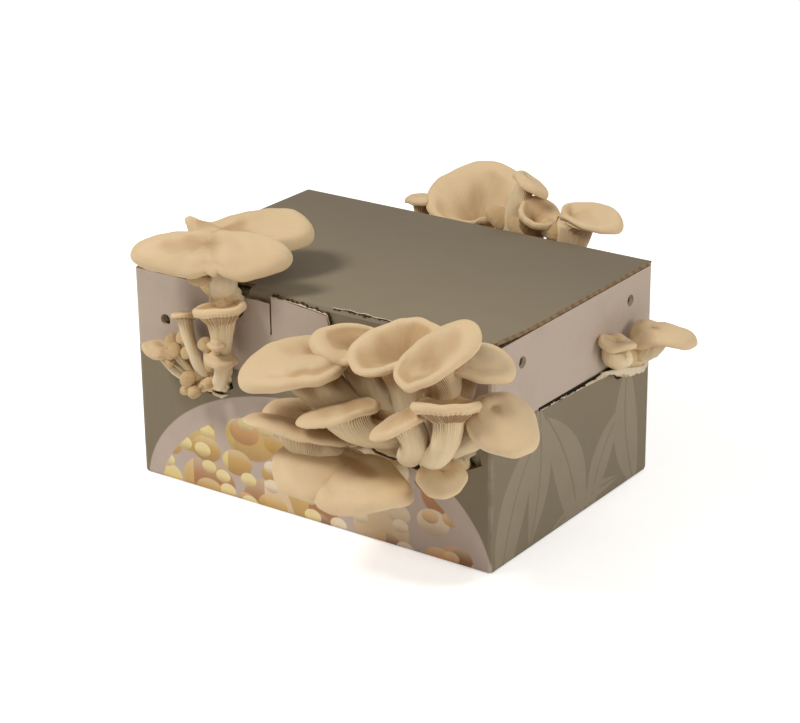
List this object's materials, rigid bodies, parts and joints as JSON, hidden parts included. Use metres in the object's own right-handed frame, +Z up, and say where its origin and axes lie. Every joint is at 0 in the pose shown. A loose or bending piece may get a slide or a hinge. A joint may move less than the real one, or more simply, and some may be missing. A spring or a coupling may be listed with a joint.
{
  "type": "oyster mushroom grow kit",
  "caption": "Closed corrugated carton round a substrate block, with clusters of oyster mushrooms growing out of torn openings in its walls and lid.",
  "frame": {"origin": "middle of the carton's bottom, on the surface it stands on", "axes": "+X to the right along the long front wall, +Y from the front wall to the back wall, +Z up"},
  "size_m": [0.3249, 0.3256, 0.19],
  "materials": {
    "carton_board": "printed, satin",
    "substrate": "crumbly, matte",
    "mycelium": "felted, matte",
    "mushroom_flesh": "smooth, matte"
  },
  "bodies": {
    "root": {"carton": "carton_board", "substrate_block": "substrate", "lid_cluster_base": "mycelium", "front_cluster_base": "mycelium", "left_cluster_base": "mycelium", "back_cluster_base": "mycelium", "right_cluster_base": "mycelium", "lid_mushroom_front": "mushroom_flesh", "lid_mushroom_back": "mushroom_flesh", "front_mushroom_01": "mushroom_flesh", "front_mushroom_02": "mushroom_flesh", "front_mushroom_03": "mushroom_flesh", "front_mushroom_04": "mushroom_flesh", "front_mushroom_05": "mushroom_flesh", "front_mushroom_06": "mushroom_flesh", "front_mushroom_07": "mushroom_flesh", "front_mushroom_08": "mushroom_flesh", "front_mushroom_09": "mushroom_flesh", "front_mushroom_10": "mushroom_flesh", "front_mushroom_11": "mushroom_flesh", "front_mushroom_12": "mushroom_flesh", "front_mushroom_13": "mushroom_flesh", "left_mushroom_01": "mushroom_flesh", "left_mushroom_02": "mushroom_flesh", "left_mushroom_03": "mushroom_flesh", "left_mushroom_04": "mushroom_flesh", "left_mushroom_05": "mushroom_flesh", "back_mushroom_01": "mushroom_flesh", "back_mushroom_02": "mushroom_flesh", "back_mushroom_03": "mushroom_flesh", "back_mushroom_04": "mushroom_flesh", "back_mushroom_05": "mushroom_flesh", "right_mushroom_01": "mushroom_flesh", "right_mushroom_02": "mushroom_flesh"}
  },
  "joints": []
}
